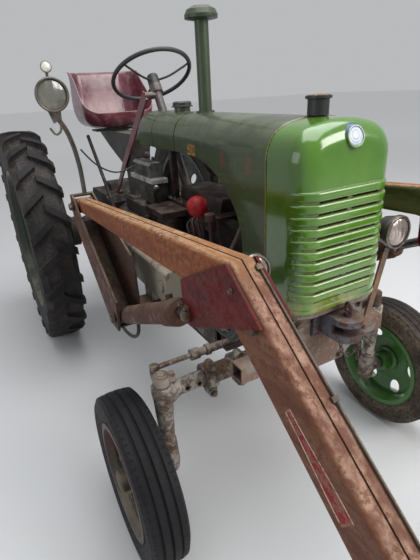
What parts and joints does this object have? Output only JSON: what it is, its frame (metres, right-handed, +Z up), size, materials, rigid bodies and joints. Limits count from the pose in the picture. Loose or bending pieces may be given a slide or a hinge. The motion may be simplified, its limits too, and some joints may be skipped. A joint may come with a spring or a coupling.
{
  "type": "farm tractor",
  "caption": "Old farm tractor with a ribbed green nose, open engine sides, a tall exhaust stack, lugged rear tyres and the bare cranked arms of a front loader.",
  "frame": {"origin": "on the ground, under the middle of the tractor's outer box", "axes": "+X forward, +Y to the left, +Z up"},
  "size_m": [4.1185, 1.49, 1.92],
  "materials": {
    "green_paint": "glossy, worn",
    "dark_green_paint": "worn",
    "loader_paint": "faded red-brown, rusty",
    "gusset_red": "worn",
    "seat_red": "glossy",
    "engine_paint": "oily",
    "black_paint": "worn",
    "cream_paint": "flaking",
    "grey_paint": "dusty",
    "bare_iron": "rusty",
    "tyre": "worn, dusty",
    "lamp": "satin",
    "steel": "worn",
    "black_plastic": "satin",
    "rubber_hose": "worn"
  },
  "bodies": {
    "chassis": {"rear_housing": "engine_paint", "gearbox": "engine_paint", "engine_block": "engine_paint", "engine_dress": "engine_paint", "manifold": "bare_iron", "radiator": "black_paint", "front_bolster": "bare_iron", "front_hitch": "gusset_red", "front_axle": "cream_paint", "axle_ends": "cream_paint", "drawbar": "bare_iron", "bonnet": "green_paint", "rear_cowl": "green_paint", "fuel_tank": "green_paint", "caps": "black_plastic", "nose_cowl": "green_paint", "exhaust_stack": "dark_green_paint", "steering_column": "gusset_red", "seat_pan": "seat_red", "seat_carrier": "black_paint", "controls": "black_paint", "valve_block": "black_paint", "work_lamp": "lamp", "oil_tank": "grey_paint", "headlights": "lamp", "masts": "loader_paint", "loader_rails": "grey_paint", "hoses": "rubber_hose"},
    "steering_hand_wheel": {"steering_wheel": "black_plastic"},
    "drop_arm_body": {"drop_arm": "bare_iron"},
    "drag_link_body": {"drag_link": "steel"},
    "tie_rod_body": {"tie_rod": "steel"},
    "boom": {"loader_boom": "loader_paint", "boom_hoses": "rubber_hose"},
    "rear_wheel_set_left": {"rear_tyre_left": "tyre", "rear_wheel_left": "dark_green_paint"},
    "front_wheel_set_left": {"front_tyre_left": "tyre", "front_wheel_left": "dark_green_paint"},
    "knuckle_body_left": {"knuckle_left": "bare_iron"},
    "barrel_left": {"cylinder_barrel_left": "loader_paint"},
    "ram_left": {"cylinder_rod_left": "steel"},
    "rear_wheel_set_right": {"rear_tyre_right": "tyre", "rear_wheel_right": "dark_green_paint"},
    "front_wheel_set_right": {"front_tyre_right": "tyre", "front_wheel_right": "dark_green_paint"},
    "knuckle_body_right": {"knuckle_right": "bare_iron"},
    "barrel_right": {"cylinder_barrel_right": "loader_paint"},
    "ram_right": {"cylinder_rod_right": "steel"}
  },
  "joints": [
    {"name": "rear_spin_left", "type": "hinge", "parent": "chassis", "child": "rear_wheel_set_left", "pos_m": [-1.34334, 0.625, 0.716], "axis": [0, 1, 0], "continuous": true},
    {"name": "rear_spin_right", "type": "hinge", "parent": "chassis", "child": "rear_wheel_set_right", "pos_m": [-1.34334, -0.625, 0.716], "axis": [0, 1, 0], "continuous": true},
    {"name": "steer_right", "type": "hinge", "parent": "chassis", "child": "knuckle_body_right", "pos_m": [0.60166, -0.535, 0.32], "axis": [0, 0, 1], "range_deg": [-35, 35]},
    {"name": "front_spin_right", "type": "hinge", "parent": "knuckle_body_right", "child": "front_wheel_set_right", "pos_m": [0.60166, -0.67, 0.32], "axis": [0, 1, 0], "continuous": true},
    {"name": "steer_left", "type": "hinge", "parent": "chassis", "child": "knuckle_body_left", "pos_m": [0.60166, 0.535, 0.32], "axis": [0, 0, 1], "range_deg": [-35, 35]},
    {"name": "front_spin_left", "type": "hinge", "parent": "knuckle_body_left", "child": "front_wheel_set_left", "pos_m": [0.60166, 0.67, 0.32], "axis": [0, 1, 0], "continuous": true},
    {"name": "tie_rod_slide", "type": "slide", "parent": "chassis", "child": "tie_rod_body", "axis": [0, 1, 0], "range_m": [-0.0399, 0.0399]},
    {"name": "drag_link_slide", "type": "slide", "parent": "chassis", "child": "drag_link_body", "axis": [1, 0, 0], "range_m": [-0.0661, 0.0661]},
    {"name": "drop_arm_turn", "type": "hinge", "parent": "chassis", "child": "drop_arm_body", "pos_m": [-0.26334, 0.208, 1.076], "axis": [0, 1, 0], "range_deg": [-11.83, 11.83]},
    {"name": "steering_wheel_turn", "type": "hinge", "parent": "chassis", "child": "steering_hand_wheel", "pos_m": [-0.50334, 0, 1.68], "axis": [-0.5299, 0, 0.848], "range_deg": [-421, 421]},
    {"name": "boom_lift", "type": "hinge", "parent": "chassis", "child": "boom", "pos_m": [-0.36834, 0, 1.122], "axis": [0, -1, 0], "range_deg": [-6, 38]},
    {"name": "barrel_swing_left", "type": "hinge", "parent": "chassis", "child": "barrel_left", "pos_m": [0.11166, 0.485, 0.715], "axis": [0, -1, 0], "range_deg": [-6.68, 41.24]},
    {"name": "ram_slide_left", "type": "slide", "parent": "barrel_left", "child": "ram_left", "axis": [0.9015, 0, 0.4327], "range_m": [-0.0652, 0.4076]},
    {"name": "barrel_swing_right", "type": "hinge", "parent": "chassis", "child": "barrel_right", "pos_m": [0.11166, -0.485, 0.715], "axis": [0, -1, 0], "range_deg": [-6.68, 41.24]},
    {"name": "ram_slide_right", "type": "slide", "parent": "barrel_right", "child": "ram_right", "axis": [0.9015, 0, 0.4327], "range_m": [-0.0652, 0.4076]}
  ],
  "couplings": [
    {"joint": "steer_left", "follows": "steer_right", "ratio": 1},
    {"joint": "tie_rod_slide", "follows": "steer_right", "m_per_rad": -0.062},
    {"joint": "drag_link_slide", "follows": "steer_right", "m_per_rad": 0.105},
    {"joint": "drop_arm_turn", "follows": "steer_right", "ratio": -0.3236},
    {"joint": "steering_wheel_turn", "follows": "steer_right", "ratio": 12},
    {"joint": "barrel_swing_left", "follows": "boom_lift", "ratio": 1.08},
    {"joint": "ram_slide_left", "follows": "boom_lift", "m_per_rad": 0.613},
    {"joint": "barrel_swing_right", "follows": "boom_lift", "ratio": 1.08},
    {"joint": "ram_slide_right", "follows": "boom_lift", "m_per_rad": 0.613}
  ]
}
